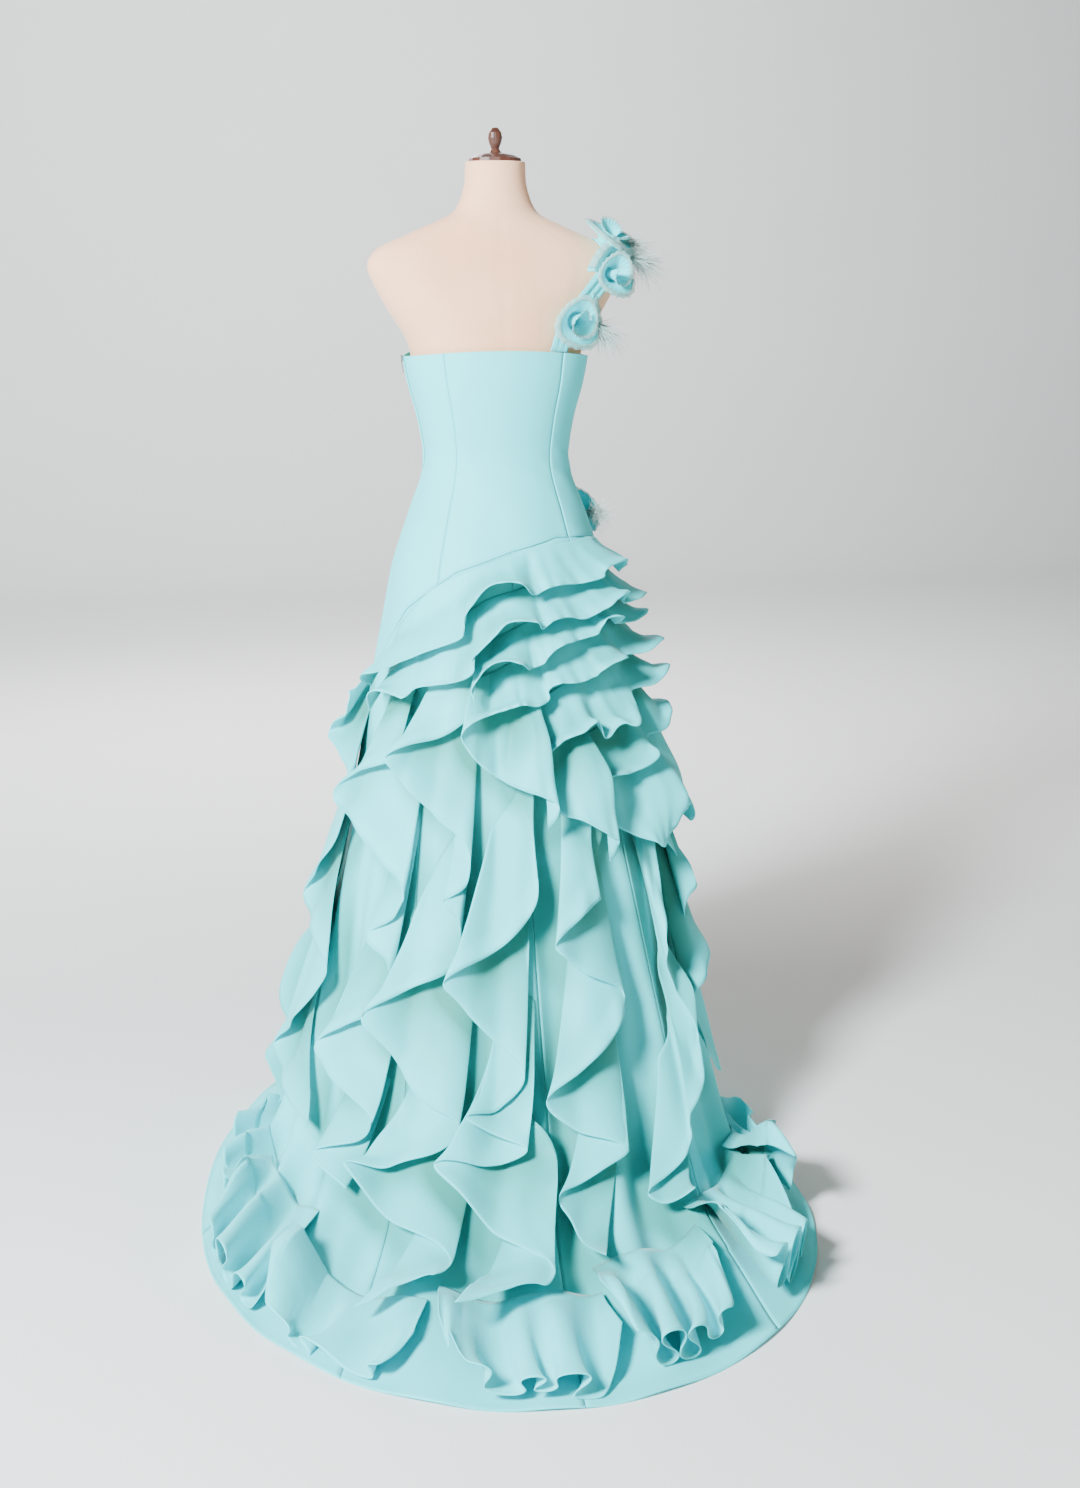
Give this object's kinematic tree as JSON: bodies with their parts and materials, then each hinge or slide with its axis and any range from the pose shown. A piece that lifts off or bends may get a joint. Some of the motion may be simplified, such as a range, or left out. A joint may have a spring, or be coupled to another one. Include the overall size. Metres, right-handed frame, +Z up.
{
  "type": "mermaid prom dress on a dress form",
  "caption": "One-shoulder fit-and-flare gown with stacked ruffles and a sweep train, worn by a limbless dress form on a round-based stand.",
  "frame": {"origin": "centre of the underside of the round stand base, on the floor under the middle of the form", "axes": "+Z up, +Y towards the wearer's back and the train, +X towards the wearer's left"},
  "size_m": [0.92, 1.315, 1.6203],
  "materials": {
    "mint_crepe": "smooth dull crepe with narrow stitched hems",
    "form_linen": "plain weave cover, stretched smooth",
    "dark_wood": "dark stained, satin varnish",
    "stand_steel": "satin grey",
    "mint_feather": "fluffy, pale green strands"
  },
  "bodies": {
    "root": {"form_torso": "form_linen", "neck_cap": "dark_wood", "stand_pole": "stand_steel", "stand_base": "stand_steel", "bodice_centre_back": "mint_crepe", "bodice_side_back_left": "mint_crepe", "bodice_side_front_left": "mint_crepe", "bodice_centre_front": "mint_crepe", "bodice_side_front_right": "mint_crepe", "bodice_side_back_right": "mint_crepe", "side_zip": "mint_crepe", "skirt_gore_back_left": "mint_crepe", "skirt_gore_left_back": "mint_crepe", "skirt_gore_left_front": "mint_crepe", "skirt_gore_front_left": "mint_crepe", "skirt_gore_front_right": "mint_crepe", "skirt_gore_right_front": "mint_crepe", "skirt_gore_right_back": "mint_crepe", "skirt_gore_back_right": "mint_crepe", "tier_1": "mint_crepe", "tier_2": "mint_crepe", "tier_3": "mint_crepe", "tier_4": "mint_crepe", "tier_5": "mint_crepe", "tier_6": "mint_crepe", "cascade_side_left": "mint_crepe", "cascade_left": "mint_crepe", "cascade_left_back": "mint_crepe", "cascade_right": "mint_crepe", "cascade_right_back": "mint_crepe", "cascade_back_right": "mint_crepe", "cascade_back": "mint_crepe", "front_tier_1": "mint_crepe", "front_tier_2": "mint_crepe", "front_tier_3": "mint_crepe", "front_tier_4": "mint_crepe", "front_cascade_1": "mint_crepe", "front_cascade_2": "mint_crepe", "front_cascade_3": "mint_crepe", "front_cascade_4": "mint_crepe", "front_cascade_5": "mint_crepe", "train_curl_1": "mint_crepe", "train_curl_2": "mint_crepe", "train_curl_3": "mint_crepe", "train_curl_4": "mint_crepe", "train_curl_5": "mint_crepe", "train_curl_6": "mint_crepe", "train_curl_7": "mint_crepe", "shoulder_strap": "mint_crepe", "rosette_1": "mint_crepe", "rosette_2": "mint_crepe", "rosette_3": "mint_crepe", "rosette_hip": "mint_crepe", "tuft_1": "mint_feather", "tuft_2": "mint_feather", "tuft_3": "mint_feather", "tuft_hip": "mint_feather"}
  },
  "joints": []
}
